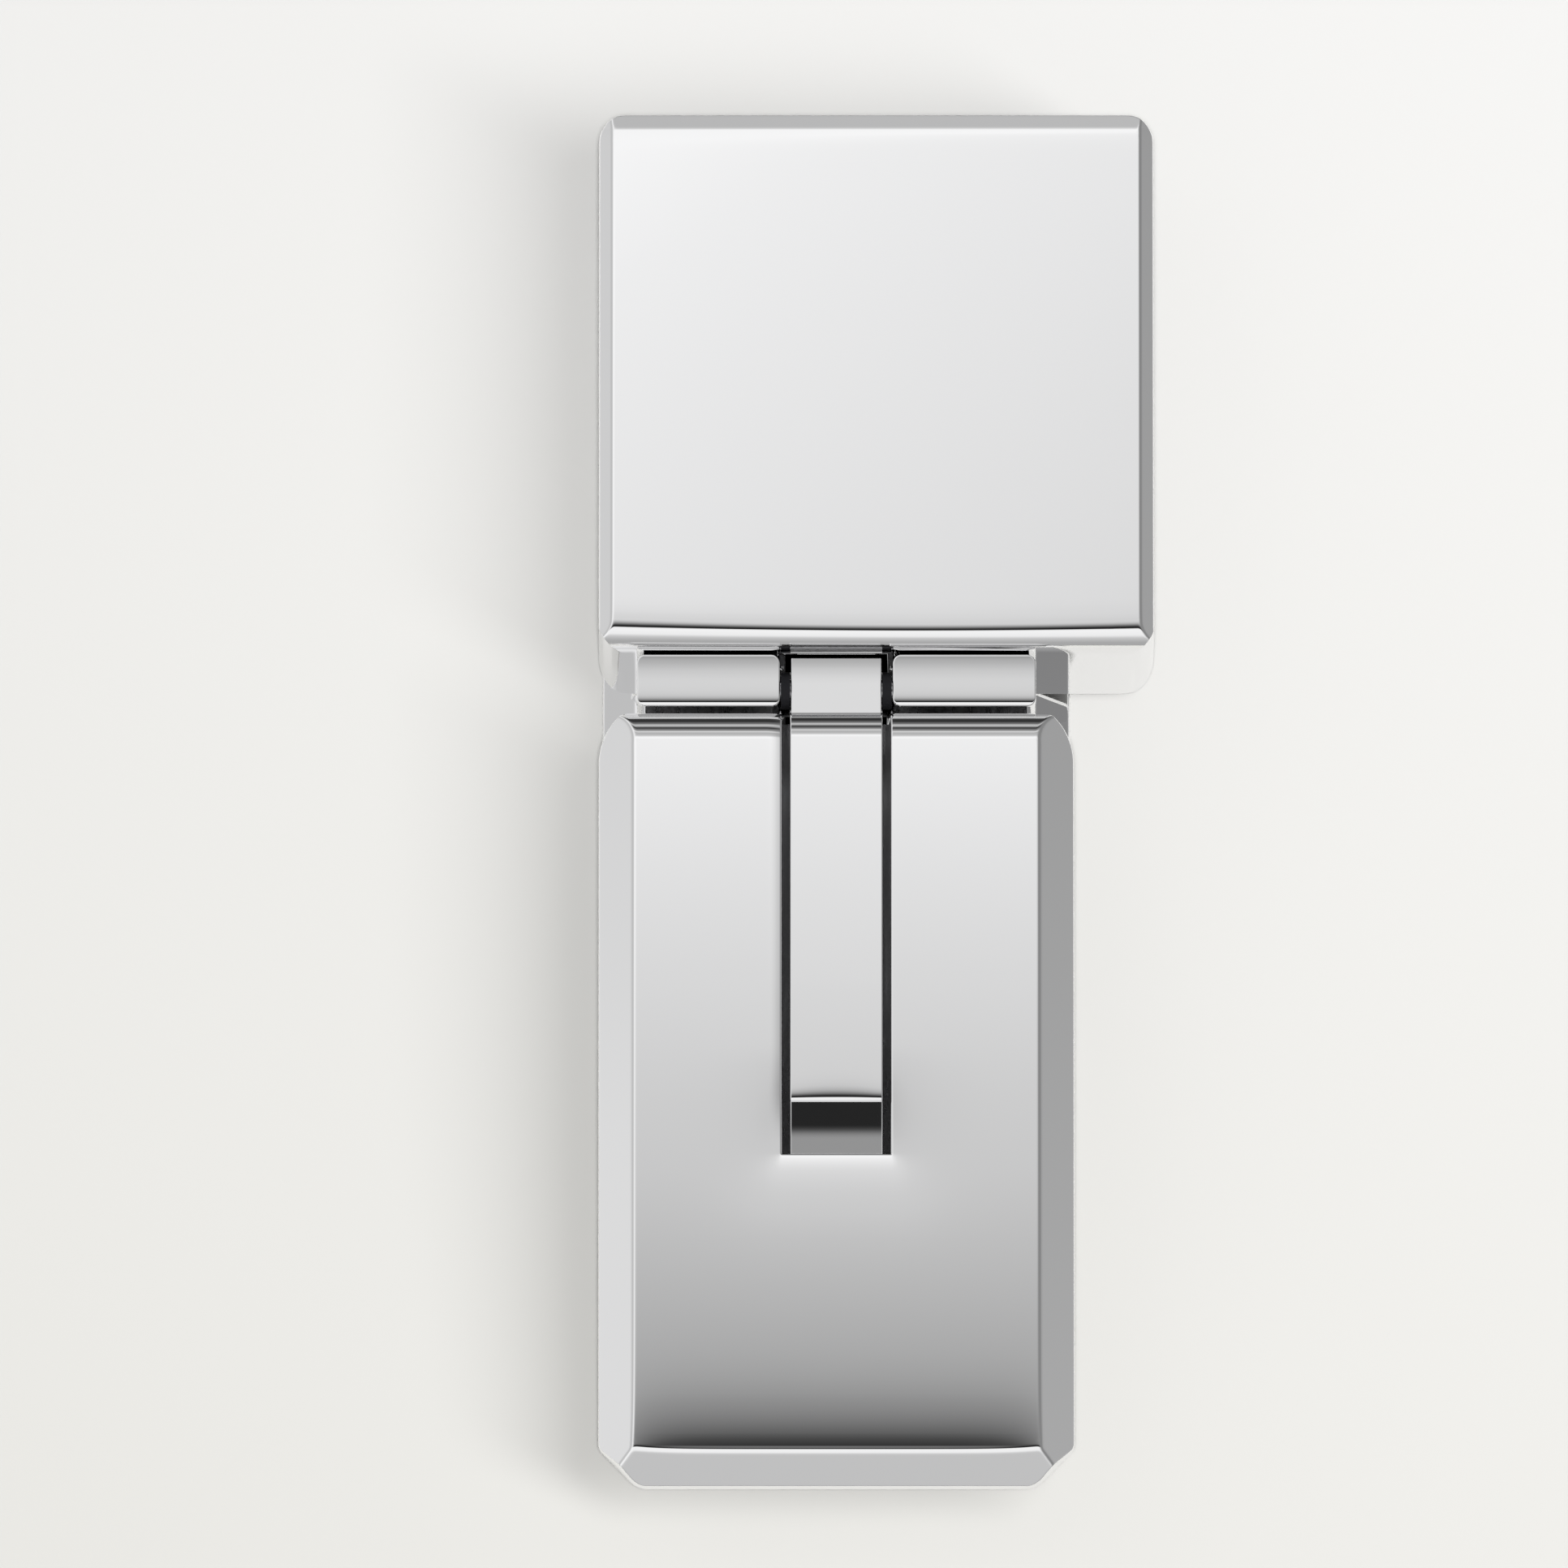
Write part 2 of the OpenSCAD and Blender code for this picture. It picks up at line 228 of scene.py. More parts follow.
def inset(x, y, box, radius):
    """How far inside a rounded rectangle (x0, x1, y0, y1) a point lies."""
    x0, x1, y0, y1 = box
    across = abs(x - (x0 + x1) / 2) - (x1 - x0) / 2 + radius
    along = abs(y - (y0 + y1) / 2) - (y1 - y0) / 2 + radius
    return radius - math.hypot(max(across, 0), max(along, 0)) - min(max(across, along), 0)


def fade(distance, depth, length):
    """Depth lost to polishing at this distance from an edge, dying away over length."""
    return depth * math.exp(-max(distance, 0) / length)


def ease(t):
    """A smooth step from 0 at t = 0 to 1 at t = 1."""
    t = min(max(t, 0), 1)
    return t * t * (3 - 2 * t)


def slab(name, rows, columns, top, bottom, gap=None):
    """A closed plate over a grid: rows are y, columns(y) are x, top and bottom give heights.
    gap(x, y) is true where the plate is cut away."""
    grid = [[(x, y) for x in columns(y)] for y in rows]
    across = len(grid[0])
    flat = [p for row in grid for p in row]
    points = [(x, y, top(x, y)) for x, y in flat] + [(x, y, bottom(x, y)) for x, y in flat]
    under = len(flat)
    faces, rim = [], {}
    for i in range(len(rows) - 1):
        for j in range(across - 1):
            corners = [i * across + j, i * across + j + 1, (i + 1) * across + j + 1, (i + 1) * across + j]
            x = sum(flat[c][0] for c in corners) / 4
            y = sum(flat[c][1] for c in corners) / 4
            if gap and gap(x, y):
                continue
            faces.append(corners)
            faces.append([c + under for c in reversed(corners)])
            # An edge shared by two faces is met once in each direction, so the rim keeps the others.
            for a, b in zip(corners, corners[1:] + corners[:1]):
                if (b, a) in rim:
                    del rim[b, a]
                else:
                    rim[a, b] = True
    faces += [[b, a, a + under, b + under] for a, b in rim]
    return solid(name, points, faces)


def loft(name, loops):
    """A solid through loops of equal length, capped at both ends."""
    n = len(loops[0])
    points = [p for loop in loops for p in loop]
    faces = []
    for low in range(0, len(points) - n, n):
        high = low + n
        for i in range(n):
            after = (i + 1) % n
            faces.append([low + i, low + after, high + after, high + i])
    faces += [list(range(n))[::-1], list(range(len(points) - n, len(points)))]
    return solid(name, points, faces)


def prism(name, outline, x0, x1):
    """A (y, z) outline drawn out from x0 to x1."""
    return loft(name, [[(x, y, z) for y, z in outline] for x in (x0, x1)])


def modify(piece, kind, **settings):
    modifier = piece.modifiers.new(kind.title(), kind)
    for key, value in settings.items():
        setattr(modifier, key, value)


def apply_modifiers(piece):
    evaluated = piece.evaluated_get(bpy.context.evaluated_depsgraph_get())
    mesh = bpy.data.meshes.new_from_object(evaluated)
    piece.modifiers.clear()
    piece.data = mesh


def carve(piece, *cutters):
    """Cuts the cutters out of the piece and removes them."""
    for cutter in cutters:
        modify(piece, "BOOLEAN", operation="DIFFERENCE", object=cutter, solver="EXACT")
    bpy.context.view_layer.update()
    apply_modifiers(piece)
    for cutter in cutters:
        bpy.data.objects.remove(cutter)
    piece.data.shade_smooth()
    piece.data.set_sharp_from_angle(angle=math.radians(CREASE))


def rod(name, x0, x1, y, z, radius, steps=48):
    """A cylinder along x."""
    angles = [2 * math.pi * i / steps for i in range(steps)]
    return prism(name, [(y + radius * math.cos(a), z + radius * math.sin(a)) for a in angles], x0, x1)


def flat_faces(piece):
    """Keeps flat faces optically flat beside their rounded edges."""
    modify(piece, "WEIGHTED_NORMAL", keep_sharp=True, weight=80)


# ---- materials ----


def shader(name, color, metallic, roughness):
    """A principled material; returns it with its nodes, links and shader."""
    material = bpy.data.materials.new(name)
    material.use_nodes = True
    nodes, links = material.node_tree.nodes, material.node_tree.links
    principled = nodes["Principled BSDF"]
    principled.inputs["Base Color"].default_value = (*color, 1)
    principled.inputs["Metallic"].default_value = metallic
    principled.inputs["Roughness"].default_value = roughness
    return material, nodes, links, principled


def noise(nodes, links, scale, detail, stretch=(1, 1, 1)):
    """Noise in object space; scale is in waves per metre."""
    coordinates = nodes.new("ShaderNodeTexCoord")
    mapping = nodes.new("ShaderNodeMapping")
    mapping.inputs["Scale"].default_value = stretch
    texture = nodes.new("ShaderNodeTexNoise")
    texture.inputs["Scale"].default_value = scale
    texture.inputs["Detail"].default_value = detail
    links.new(coordinates.outputs["Object"], mapping.inputs["Vector"])
    links.new(mapping.outputs["Vector"], texture.inputs["Vector"])
    return texture.outputs["Fac"]


def to_range(nodes, links, value, low, high):
    """Noise, which mostly lies between 0.3 and 0.7, spread from low to high."""
    ramp = nodes.new("ShaderNodeMapRange")
    ramp.inputs["From Min"].default_value = 0.3
    ramp.inputs["From Max"].default_value = 0.7
    ramp.inputs["To Min"].default_value = low
    ramp.inputs["To Max"].default_value = high
    links.new(value, ramp.inputs["Value"])
    return ramp.outputs["Result"]


def bump(nodes, links, principled, height, depth):
    """Bump of the given depth in metres."""
    node = nodes.new("ShaderNodeBump")
    node.inputs["Strength"].default_value = 1.0
    node.inputs["Distance"].default_value = depth
    links.new(height, node.inputs["Height"])
    links.new(node.outputs["Normal"], principled.inputs["Normal"])


def polished_steel(name, color):
    """Mirror polish: faint haze that varies and hairlines left by the last buffing wheel."""
    material, nodes, links, principled = shader(name, color, 1.0, 0.05)
    haze = noise(nodes, links, 160, 4)
    links.new(to_range(nodes, links, haze, 0.012, 0.035), principled.inputs["Roughness"])
    hairlines = noise(nodes, links, 900, 3, stretch=(1, 0.03, 1))
    bump(nodes, links, principled, hairlines, 0.00000012)
    return material


def brushed_steel(name, color, roughness):
    """Fine grinding lines along y."""
    material, nodes, links, principled = shader(name, color, 1.0, roughness)
    lines = noise(nodes, links, 5200, 3, stretch=(1, 0.02, 1))
    spread = to_range(nodes, links, lines, roughness - 0.08, roughness + 0.1)
    links.new(spread, principled.inputs["Roughness"])
    bump(nodes, links, principled, lines, 0.000002)
    return material


def turned_steel(name, color):
    """Small turned parts: fine grain and slightly darker patches."""
    material, nodes, links, principled = shader(name, color, 1.0, 0.3)
    grain = noise(nodes, links, 9000, 2)
    links.new(to_range(nodes, links, grain, 0.22, 0.38), principled.inputs["Roughness"])
    bump(nodes, links, principled, grain, 0.000001)
    return material


def black_polymer_shade(name):
    # The washers are black polymer. Their colour is darkened past real plastic as painted shade for the gaps
    # they sit in.
    material, nodes, links, principled = shader(name, (0.003, 0.003, 0.0035), 0.0, 0.55)
    principled.inputs["Specular IOR Level"].default_value = 0.15
    grain = noise(nodes, links, 7000, 2)
    links.new(to_range(nodes, links, grain, 0.45, 0.65), principled.inputs["Roughness"])
    bump(nodes, links, principled, grain, 0.000003)
    return material


def studio_floor(name):
    """Pale card whose colour is painted a little lighter towards the far side: painted light for the lamps
    falling more strongly there.
    """
    material, nodes, links, principled = shader(name, (0.25, 0.25, 0.25), 0.0, 0.9)
    principled.inputs["Specular IOR Level"].default_value = 0.0
    coordinates = nodes.new("ShaderNodeTexCoord")
    toward = nodes.new("ShaderNodeVectorMath")
    toward.operation = "DOT_PRODUCT"
    toward.inputs[1].default_value = (0.23, 0.97, 0)
    links.new(coordinates.outputs["Object"], toward.inputs[0])
    spread = nodes.new("ShaderNodeMapRange")
    spread.inputs["From Min"].default_value = -0.045
    spread.inputs["From Max"].default_value = 0.045
    links.new(toward.outputs["Value"], spread.inputs["Value"])
    # Painted light: the card's colour brightens from A to B towards the far side, standing in for stronger
    # lamp light there.
    painted_light_mix = nodes.new("ShaderNodeMix")
    painted_light_mix.data_type = "RGBA"
    painted_light_mix.inputs["A"].default_value = (0.190, 0.1885, 0.180, 1)
    painted_light_mix.inputs["B"].default_value = (0.2123, 0.2115, 0.208, 1)
    links.new(spread.outputs["Result"], painted_light_mix.inputs["Factor"])
    links.new(painted_light_mix.outputs["Result"], principled.inputs["Base Color"])
    return material


MATERIALS = {
    "polished_steel": polished_steel("polished_steel", (0.93, 0.93, 0.935)),
    "spring_steel": polished_steel("spring_steel", (0.92, 0.92, 0.925)),
    # inner_steel: a real brushed finish, with a dark colour that is painted shade for the gaps and
    # undersides it lines.
    "inner_steel": brushed_steel("inner_steel", (0.30, 0.30, 0.31), 0.32),
    "screw_steel": turned_steel("screw_steel", (0.58, 0.58, 0.6)),
    "washer_polymer": black_polymer_shade("washer_polymer"),
}


def finish_piece(piece, slot, body, *nodes):
    """Gives a piece its material, its slot, its body and the CAD nodes it stands for."""
    piece.data.materials.clear()
    piece.data.materials.append(MATERIALS[slot])
    if body:
        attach(piece, body)
    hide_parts(*nodes)


def satin_shade_faces(piece, chosen):
    """The faces picked by chosen(centre, normal) keep a brushed finish instead of the polish, in a dark
    colour that is painted shade for the gaps and undersides they line.
    """
    piece.data.materials.append(MATERIALS["inner_steel"])
    for face in piece.data.polygons:
        if chosen(face.center, face.normal):
            face.material_index = 1


# ---- the arm ----

# The rows are close together where the edge beside the hinge is rounded.
HINGE_EDGE_ROWS = [
    (ARM_START, 0.006),
    (ARM_START + 0.03, 0.02),
    (ARM_START + 0.2, 0.05),
    (ARM_START + 1.6, 0.15),
]


def face_z(d):
    """The arm's bowed face."""
    return CLIP_TOP - (d - CREST) ** 2 / (2 * BOW_R) - max(0, d - DROOP_START) ** 2 / (2 * DROOP_R)


def slot_distance(x, d):
    """How far a point of the arm lies from the slot."""
    return math.hypot(max(abs(x) - SLOT_HALF, 0), max(d - SLOT_END, 0))


def tip_cut(u):
    """How far the cut lower corner reaches in, u before the tip: 45 degrees with both ends rounded."""
    upper = TIP_CORNER_R / 2
    lower_end = TIP_CORNER_R * (1 - math.sqrt(0.5))
    upper_start = TIP_CHAMFER + upper * math.tan(math.pi / 8)
    upper_end = upper_start - upper * math.sqrt(0.5)
    if u >= upper_start:
        return 0
    if u > upper_end:
        return upper - math.sqrt(upper * upper - (u - upper_start) ** 2)
    if u > lower_end:
        return TIP_CHAMFER - u
    centre = TIP_CHAMFER + TIP_CORNER_R * math.tan(math.pi / 8)
    return centre - math.sqrt(TIP_CORNER_R**2 - (u - TIP_CORNER_R) ** 2)


def arm_half_at(d):
    """Half the arm's width at d, with its round upper and cut lower corners."""
    return ARM_HALF - max(corner_cut(d - ARM_START, ARM_CORNER, ARM_CORNER_W), tip_cut(ARM_REACH - d))


def arm_top(x, y):
    d = -y
    x_out = abs(x)
    base = face_z(d)
    edge = base - ARM_BEVEL_H
    # Polishing rolls the face off towards its edges, and dishes it round the end of the slot.
    beside = ARM_HALF - SIDE_BEVEL - x_out
    roll_off = ROLL_OFF * (1 - fade(beside, 0.6, 1.1))
    z = base - fade(ARM_REACH - TIP_BEVEL - d, roll_off, 1.35) - fade(beside, 0.012, 0.3)
    z -= fade(slot_distance(x, d), SLOT_DISH * (1 - ease((SLOT_END - d) / SLOT_DISH_REACH)), 1.45)
    # The slot's left edge is rolled off over a wider band than its right edge.
    roll = SLOT_HALF + (0.8 if x < 0 else 0.2)
    z -= 0.15 * max(roll - x_out, 0) ** 2 * ease((SLOT_END - d) / 3)
    z -= edge_round((d - ARM_START) * HINGE_ROUND / HINGE_ROLL, HINGE_ROUND)
    z = soft_min(z, edge + (ARM_HALF - x_out) * ARM_BEVEL_H / SIDE_BEVEL, 0.07)
    tip_edge = base - TIP_BEVEL_H
    z = soft_min(z, tip_edge + (ARM_REACH - d) * TIP_BEVEL_H / TIP_BEVEL, 0.1)
    outer = min(arm_half_at(d) - x_out, ARM_REACH - d)
    return z - edge_round(outer, 0.05) - edge_round(slot_distance(x, d), 0.1)


def arm_bottom(x, y):
    d = -y
    outer = min(arm_half_at(d) - abs(x), ARM_REACH - d, d - ARM_START)
    return face_z(d) - ARM_T + edge_round(outer, 0.05) + edge_round(slot_distance(x, d), 0.08)


def make_arm():
    """Bowed plate with bevelled sides and tip, cut away for the strap's slot."""
    fixed = spans(
        (0, 0.5),
        (SLOT_HALF - 0.3, 0.15),
        (SLOT_HALF, 0.02),
        (SLOT_HALF + 0.12, 0.1),
        (SLOT_HALF + 0.82, 0.3),
        (ARM_INNER, 1),
    )
    outer = spans((0, 0.022), (0.985, 0.004), (1, 1))

    def columns(y):
        half = arm_half_at(-y)
        return mirrored(fixed + [ARM_INNER + (half - ARM_INNER) * u for u in outer[1:]])

    rows = spans(
        *HINGE_EDGE_ROWS,
        (ARM_START + ARM_CORNER, 0.4),
        (SLOT_END - 0.8, 0.1),
        (SLOT_END, 0.02),
        (SLOT_END + 0.16, 0.12),
        (SLOT_END + 4, 0.4),
        (ARM_REACH - 4, 0.2),
        (ARM_REACH - 2.2, 0.05),
        (ARM_REACH - 0.1, 0.01),
        (ARM_REACH, 1),
    )
    arm = slab(
        "arm",
        [-d for d in rows],
        columns,
        arm_top,
        arm_bottom,
        gap=lambda x, y: abs(x) < SLOT_HALF and -y < SLOT_END,
    )
    finish_piece(arm, "polished_steel", "arm", "arm_plate")
    # The arm's underside takes the dark inner steel: brushed, and painted shade.
    satin_shade_faces(arm, lambda at, normal: normal.z < -0.5)


# ---- the strap and the middle knuckle ----


def strap_face(d):
    return CLIP_TOP - (d - CREST) ** 2 / (2 * STRAP_BOW_R) - max(0, d - DROOP_START) ** 2 / (2 * DROOP_R)


def ledge_z(d):
    """The ledge past the strap's end: 14 degrees down at first, easing off towards the slot's end."""
    start = strap_face(STRAP_END) - LEDGE_DROP
    t = (d - STRAP_END - 1) / 0.65
    eased = 0 if t <= 0 else t**3 - t**4 / 2 if t < 1 else t - 0.5
    return start - 0.255 * (d - STRAP_END) + 0.1 * 0.65 * eased


def strap_top(x, y):
    d = -y
    if d <= STRAP_END:
        reach = 0.27 - 0.08 * (x / STRAP_RIGHT) ** 2
        z = strap_face(d) - fade(STRAP_END - d, STRAP_END_DROP * reach, reach)
        z -= edge_round((d - ARM_START) * STRAP_ROUND / STRAP_ROLL, STRAP_ROUND)
        z = max(z, KNUCKLE_TOP + 0.06)
    elif d <= LEDGE_END:
        z = ledge_z(d)
    else:
        z = face_z(d) - ARM_T - FOOT_GAP - edge_round(-FOOT_END_Y - d, 0.09)
    return z - edge_round(STRAP_RIGHT - abs(x), 0.07)


def strap_bottom(x, y):
    d = -y
    jog = min(max((d - JOG_START) / (LEDGE_END - JOG_START), 0), 1)
    low = face_z(d) - STRAP_T - (ARM_T + FOOT_GAP + FOOT_T - STRAP_T) * ease(jog)
    return (KNUCKLE_TOP if d <= -TAIL_END_Y else low) + edge_round(STRAP_RIGHT - abs(x), 0.05)


def make_strap():
    """Spring strap in the slot: over the knuckle's tail, down a ledge and under the arm."""
    half = spans((0, 0.3), (STRAP_RIGHT - 0.1, 0.012), (STRAP_RIGHT, 1))
    rows = spans(
        *HINGE_EDGE_ROWS,
        (ARM_START + 3, 0.4),
        (STRAP_END - 1.4, 0.08),
        (STRAP_END - 0.6, 0.02),
        (STRAP_END, 0.01),
        (STRAP_END + 0.01, 0.08),
        (LEDGE_END, 0.01),
        (LEDGE_END + 0.01, 0.4),
        (-FOOT_END_Y - 0.1, 0.02),
        (-FOOT_END_Y, 1),
    )
    strap = slab("strap", [-d for d in rows], lambda y: mirrored(half), strap_top, strap_bottom)
    finish_piece(strap, "spring_steel", None, "spring_strap")
    # The strap's underside takes the dark inner steel: brushed, and painted shade.
    satin_shade_faces(strap, lambda at, normal: normal.z < -0.5)
    middle_z = KNUCKLE_TOP + STRAP_T / 2
    start, end = place(0, TAIL_END_Y, middle_z), place(0, -JOG_START, middle_z)
    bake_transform(strap)


def hollow(d, steep, slope):
    """How far a knuckle's top has fallen, d from the head: steep at first, easing to a gentler slope."""
    t = min(max((d - STEEP_END) / STEEP_EASE, 0), 1)
    fallen = slope * d + steep * (min(d, STEEP_END) + STEEP_EASE * (t - t**3 + t**4 / 2))
    return fallen - 0.03 * math.exp(-d / 0.2)


def arc(y, z, radius, first, last, steps):
    """Points of a (y, z) outline on an arc between two angles in degrees."""
    angles = [math.radians(first + (last - first) * i / steps) for i in range(steps + 1)]
    return [(y + radius * math.cos(a), z + radius * math.sin(a)) for a in angles]


def make_knuckle():
    """Cam with two flats at right angles, and the flat tail under the strap."""
    corner = math.degrees(math.acos(DETENT_FLAT / CAM_R))
    tail_low = PIN_Z - 0.1
    back = PIN_Y + DETENT_FLAT
    crown = [-back + (ARM_START - 0.02 + back) * i / 16 for i in range(17)]
    outline = (
        [(TAIL_END_Y, tail_low), (TAIL_END_Y, KNUCKLE_TOP), (-ARM_START - 0.06, KNUCKLE_TOP)]
        + [(-d, KNUCKLE_TOP - 0.03 - hollow(d, 0.089, 0.018)) for d in reversed(crown)]
        + arc(PIN_Y, PIN_Z, CAM_R, -corner, corner - 90, 8)
        + arc(PIN_Y, PIN_Z, CAM_R, -90 - corner, -176.5, 14)
    )
    knuckle = prism("knuckle_cam", outline, KNUCKLE_LEFT, KNUCKLE_RIGHT)
    modify(knuckle, "BEVEL", width=0.04 * MM, segments=3, limit_method="ANGLE", angle_limit=math.radians(35))
    flat_faces(knuckle)
    finish_piece(knuckle, "polished_steel", "knuckle", "hinge_knuckle")


# ---- the fixed frame ----


def lip_z(d):
    """Underside of the back plate: flat, then an S up to the pinch and a short flare down."""
    rise = face_z(LIP_PEAK) - ARM_T - PINCH_GAP - PLATE_T
    if d > LIP_PEAK:
        return rise - (d - LIP_PEAK) ** 2 / (2 * LIP_FLARE_R)
    return rise * ease((d - LIP_START) / (LIP_PEAK - LIP_START))


def make_back_plate():
    """Bevelled plate under the head and the arm, with countersunk holes for its screws."""
    half, tip = PLATE_RIGHT, -PLATE_TIP_Y

    def half_at(y):
        return half - corner_cut(min(PLATE_BACK - y, tip + y), PLATE_CORNER, PLATE_CORNER)

    def outer(x, y):
        return min(half_at(y) - abs(x), PLATE_BACK - y, tip + y)

    def top(x, y):
        z = lip_z(-y)
        slope = (PLATE_T - PLATE_EDGE) / PLATE_BEVEL
        height = soft_min(PLATE_T, PLATE_EDGE + (half_at(y) - abs(x)) * slope, 0.05)
        return z + height - edge_round(outer(x, y), 0.12)

    def bottom(x, y):
        return lip_z(-y) + edge_round(outer(x, y), 0.12)

    fixed = spans((0, 0.8), (PLATE_INNER, 0.8))
    free = spans((0, 0.04), (0.95, 0.01), (1, 1))

    def columns(y):
        return mirrored(fixed + [PLATE_INNER + (half_at(y) - PLATE_INNER) * u for u in free[1:]])

    rows = spans(
        (-tip, 0.03), (-tip + 0.15, 0.15), (-tip + 2, 0.4), (-LIP_START, 1), (0.5, 1.5),
        (PLATE_BACK - 2, 0.15), (PLATE_BACK - 0.15, 0.03), (PLATE_BACK, 1),
    )
    plate = slab("plate", rows, columns, top, bottom)
    carve(plate, *screw_cutters("head_screws"), *screw_cutters("block_screws"))
    finish_piece(plate, "polished_steel", "clip_frame", "back_plate")

    # Where the arm covers the plate, the plate's top takes the dark inner steel as painted shade.
    def under_arm(at, normal):
        x, y, _ = local(at)
        return normal.z > 0.5 and abs(x) < SATIN_HALF and y < -1

    satin_shade_faces(plate, under_arm)


def screw_places(name):
    """Centre and head radius of each screw of a CAD node whose heads face down."""
    mesh = frame["nodes"][name].data
    bottoms = [local(v.co) for v in mesh.vertices if v.co.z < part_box(name)[0].z + 0.02 * MM]
    places = []
    for x, y, _ in bottoms:
        for group in places:
            if math.hypot(group[0][0] - x, group[0][1] - y) < SCREW_SPACING:
                group.append((x, y))
                break
        else:
            places.append([(x, y)])
    centres = []
    for group in places:
        xs, ys = [p[0] for p in group], [p[1] for p in group]
        centres.append(((min(xs) + max(xs)) / 2, (min(ys) + max(ys)) / 2, (max(xs) - min(xs)) / 2))
    return centres


def screw_cutters(name):
    """One countersunk cutter for each screw of a node, a little wider than the screw."""
    cutters = []
    for number, (x, y, radius) in enumerate(screw_places(name)):
        wide, narrow = radius + 0.03, radius * 0.55
        rings = []
        for z, r in ((-0.5, wide), (0.05, wide), (0.05 + wide - narrow, narrow), (PLATE_T + 0.5, narrow)):
            angles = [2 * math.pi * i / 48 for i in range(48)]
            rings.append([(x + r * math.cos(a), y + r * math.sin(a), z) for a in angles])
        cutters.append(loft(f"{name}_cutter_{number}", rings))
    return cutters


def make_head():
    """Hollow square cover: flat bevels on three sides, a notched quarter round on the hinge side."""
    box = (HEAD_LEFT, HEAD_RIGHT, 0, HEAD_BACK)
    past_front = (HEAD_LEFT, HEAD_RIGHT, -9, HEAD_BACK)
    middle = (HEAD_LEFT + HEAD_RIGHT) / 2
    half = (HEAD_RIGHT - HEAD_LEFT) / 2

    def half_at(y):
        return half - corner_cut(min(y, HEAD_BACK - y), HEAD_CORNER_R, HEAD_CORNER_R)

    def top(x, y):
        side = half - abs(x - middle)
        crown = (y - HEAD_CREST) ** 2 / (2 * HEAD_BOW_R) + (x - middle) ** 2 / (8 * HEAD_BOW_R)
        twist = HEAD_TWIST * (x - HEAD_LEFT) * (HEAD_BACK - y) / 2
        face = CLIP_TOP - crown - twist - fade(HEAD_BACK - HEAD_BEVEL - y, 0.006, 0.25)
        front_r = HEAD_FRONT_R + HEAD_FRONT_FLARE * ((x - middle) / half) ** 2
        fall = -edge_round(y, front_r) - fade(y - front_r, 0.012, 0.3)
        fall = soft_min(fall, HEAD_BEVEL_H * (side / HEAD_BEVEL - 1), 0.06)
        fall = soft_min(fall, HEAD_BACK_H * ((HEAD_BACK - y) / HEAD_BEVEL - 1), 0.006)
        return face + fall - edge_round(inset(x, y, past_front, HEAD_CORNER_R), 0.05)

    def bottom(x, y):
        rim = inset(x, y, past_front, HEAD_CORNER_R)
        return HEAD_FOOT + edge_round(rim, HEAD_FOOT_R) + edge_round(y, 0.15)

    outer = spans((0, 0.05), (0.85, 0.015), (0.9, 0.005), (0.99, 0.002), (1, 1))

    def columns(y):
        return [middle + x for x in mirrored([half_at(y) * u for u in outer])]

    rows = spans(
        (0, 0.006), (0.03, 0.02), (0.2, 0.05), (1.6, 0.2), (2.4, 1), (HEAD_BACK - 2.4, 0.2),
        (HEAD_BACK - 1, 0.05), (HEAD_BACK - 0.1, 0.01), (HEAD_BACK, 1),
    )
    head = slab("head", rows, columns, top, bottom)
    ceiling = BASE_TOP + 0.1
    opening = box_cutter("opening", box, HEAD_RIM, HEAD_FOOT - 1, ceiling + 0.1)
    cavity = box_cutter("cavity", box, HEAD_WALL, ceiling, CLIP_TOP - HEAD_WALL)
    window = wall_cutter("window", -WINDOW_HALF, WINDOW_HALF, HEAD_WALL + 0.2, WINDOW_LOW, WINDOW_HIGH)
    notch = wall_cutter(
        "notch", KNUCKLE_LEFT - 0.03, KNUCKLE_RIGHT + 0.03, NOTCH_DEPTH, NOTCH_LOW, CLIP_TOP + 1
    )
    relief = rod("relief", -WINDOW_HALF, WINDOW_HALF, PIN_Y, PIN_Z, CAM_R + 0.11, 96)
    carve(head, opening, cavity, window, notch, relief)
    finish_piece(head, "polished_steel", "clip_frame", "head_shell")
    # The notch's back wall takes the dark inner steel as painted shade.
    satin_shade_faces(head, lambda at, normal: abs(local(at)[1] - NOTCH_DEPTH) < 0.01 and normal.y < -0.9)


def wall_cutter(name, x0, x1, depth, low, high):
    """Cuts into the head's hinge-side wall, to this depth behind its outer face."""
    return prism(name, [(-1, low), (depth, low), (depth, high), (-1, high)], x0, x1)


def box_cutter(name, box, margin, low, high):
    """Cuts a square room, this margin inside the box on all four sides."""
    x0, x1, y0, y1 = box[0] + margin, box[1] - margin, box[2] + margin, box[3] - margin
    return prism(name, [(y0, low), (y1, low), (y1, high), (y0, high)], x0, x1)


